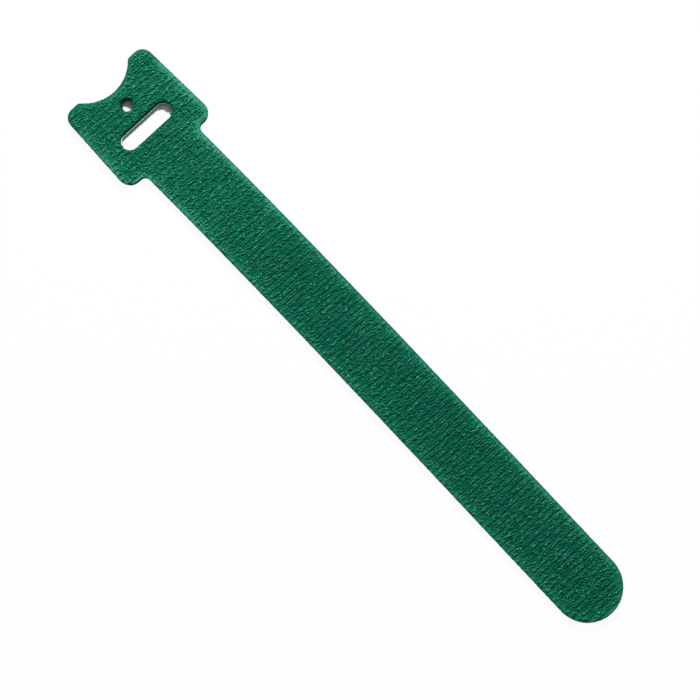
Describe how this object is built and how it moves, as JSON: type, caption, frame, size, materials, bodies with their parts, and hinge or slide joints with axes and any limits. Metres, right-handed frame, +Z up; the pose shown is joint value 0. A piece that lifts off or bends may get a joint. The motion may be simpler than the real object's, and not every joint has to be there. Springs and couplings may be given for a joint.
{
  "type": "hook and loop cable tie",
  "caption": "Die-cut hook and loop cable tie: a long soft strap with a round tip and a wide eared head with a threading slot and a small fixing hole, lying flat with the loop side up.",
  "frame": {"origin": "on the surface that the tie lies on, under the middle of its length and width", "axes": "+X along the strap from the eared head to the round tip, +Z up through the loop side, Y across the strap"},
  "size_m": [0.2, 0.031, 0.0024],
  "materials": {
    "loop_pile": "brushed knit pile, green, fuzzy and matt",
    "moulded_hook": "moulded plastic film with rows of small hooks, green, satin"
  },
  "bodies": {
    "root": {"loop_fabric": "loop_pile", "hook_tape": "moulded_hook"}
  },
  "joints": []
}
